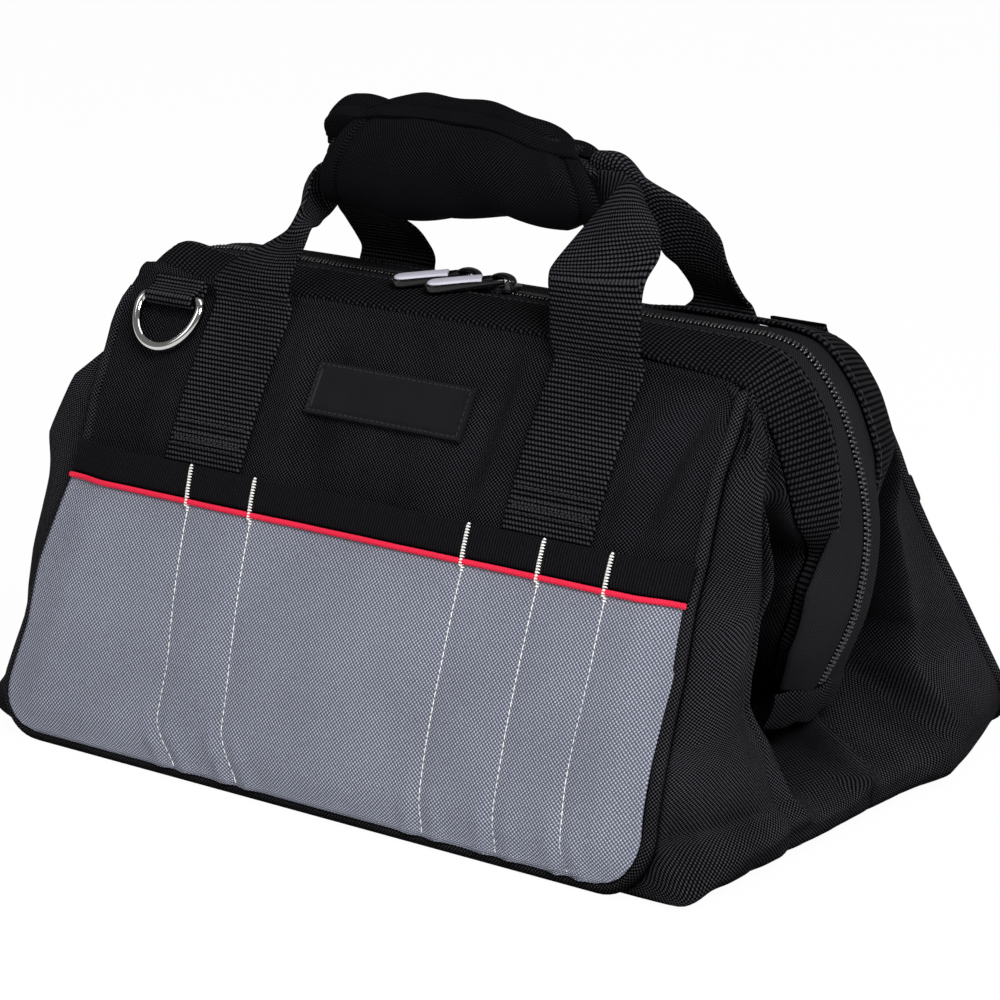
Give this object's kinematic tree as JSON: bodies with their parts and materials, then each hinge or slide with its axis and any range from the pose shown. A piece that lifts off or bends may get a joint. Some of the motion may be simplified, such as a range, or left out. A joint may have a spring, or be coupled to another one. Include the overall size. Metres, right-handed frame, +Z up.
{
  "type": "tool bag",
  "caption": "Black wide-mouth tool bag with grey outer pockets, a zipper over the top, and webbing handles held together by a padded wrap.",
  "frame": {"origin": "middle of the base's underside, on the floor", "axes": "+X along the bag's length to its right end, -Y to the front with the label, +Z up"},
  "size_m": [0.3524, 0.2148, 0.2392],
  "materials": {
    "black_fabric": "woven polyester, matt",
    "grey_fabric": "coarse woven polyester, matt",
    "webbing": "ribbed webbing",
    "red_cord": "smooth piping",
    "coil_plastic": "moulded coil on a woven tape",
    "black_metal": "gloss black",
    "grey_rubber": "satin inlay",
    "nickel": "bright plated wire",
    "label_rubber": "soft moulded, satin",
    "stiffener": "plain board"
  },
  "bodies": {
    "base": {"base_board": "stiffener", "base_panel": "black_fabric", "left_zipper_tab": "black_fabric", "right_zipper_tab": "black_fabric"},
    "front_side": {"front_left_gusset": "black_fabric", "front_left_strap_foot": "webbing", "front_panel": "black_fabric", "front_pocket": "grey_fabric", "front_pocket_binding": "webbing", "front_pocket_cord": "red_cord", "front_right_gusset": "black_fabric", "front_right_strap_foot": "webbing", "front_ring_loop": "webbing", "front_seam_piping": "black_fabric", "front_zipper_band": "webbing", "front_zipper_tape": "coil_plastic", "label_patch": "label_rubber"},
    "rear_side": {"rear_left_gusset": "black_fabric", "rear_left_strap_foot": "webbing", "rear_panel": "black_fabric", "rear_pocket": "grey_fabric", "rear_pocket_binding": "webbing", "rear_pocket_cord": "red_cord", "rear_right_gusset": "black_fabric", "rear_right_strap_foot": "webbing", "rear_ring_loop": "webbing", "rear_seam_piping": "black_fabric", "rear_zipper_band": "webbing", "rear_zipper_tape": "coil_plastic"},
    "handle": {"front_handle_core": "webbing", "front_left_handle_strap": "webbing", "front_right_handle_strap": "webbing", "grip_loop_strip": "webbing", "grip_pad": "black_fabric", "rear_handle_core": "webbing", "rear_left_handle_strap": "webbing", "rear_right_handle_strap": "webbing"},
    "grip_flap": {"grip_flap": "black_fabric", "grip_hook_strip": "webbing"},
    "left_slider": {"left_slider": "black_metal"},
    "left_pull": {"left_pull": "black_metal", "left_pull_insert": "grey_rubber"},
    "right_slider": {"right_slider": "black_metal"},
    "right_pull": {"right_pull": "black_metal", "right_pull_insert": "grey_rubber"},
    "front_ring": {"front_ring": "nickel"},
    "rear_ring": {"rear_ring": "nickel"}
  },
  "joints": [
    {"name": "front_side_open", "type": "hinge", "parent": "base", "child": "front_side", "pos_m": [0, -0.10528, 0.0022], "axis": [-1, 0, 0], "range_deg": [-8, 0], "deforming": ["front_left_gusset", "front_right_gusset"]},
    {"name": "rear_side_open", "type": "hinge", "parent": "base", "child": "rear_side", "pos_m": [0, 0.10477, 0.0022], "axis": [-1, 0, 0], "range_deg": [0, 8], "deforming": ["rear_left_gusset", "rear_right_gusset"]},
    {"name": "handle_swing", "type": "hinge", "parent": "base", "child": "handle", "pos_m": [0, 0, 0.162], "axis": [-1, 0, 0], "range_deg": [-20, 20], "stiffness_Nm_per_rad": 0.2, "deforming": ["front_left_handle_strap", "front_right_handle_strap", "rear_left_handle_strap", "rear_right_handle_strap"]},
    {"name": "grip_flap_open", "type": "hinge", "parent": "handle", "child": "grip_flap", "pos_m": [-0.005, 0.01082, 0.1948], "axis": [1, 0, 0], "range_deg": [-90, 0]},
    {"name": "left_slider_run", "type": "slide", "parent": "front_side", "child": "left_slider", "axis": [1, 0, 0], "range_m": [-0.11, 0]},
    {"name": "right_slider_run", "type": "slide", "parent": "front_side", "child": "right_slider", "axis": [1, 0, 0], "range_m": [0, 0.1095]},
    {"name": "left_pull_lift", "type": "hinge", "parent": "left_slider", "child": "left_pull", "pos_m": [-0.008, 0, 0.1745], "axis": [-0.6157, 0.788, 0], "range_deg": [0, 28]},
    {"name": "right_pull_lift", "type": "hinge", "parent": "right_slider", "child": "right_pull", "pos_m": [0.0085, 0, 0.1745], "axis": [-0.6293, 0.7771, 0], "range_deg": [0, 28]},
    {"name": "front_ring_swing", "type": "hinge", "parent": "front_side", "child": "front_ring", "pos_m": [-0.125, -0.03754, 0.15972], "axis": [-1, 0, 0], "range_deg": [0, 150]},
    {"name": "rear_ring_swing", "type": "hinge", "parent": "rear_side", "child": "rear_ring", "pos_m": [0.125, 0.03684, 0.15916], "axis": [1, 0, 0], "range_deg": [0, 150]}
  ]
}
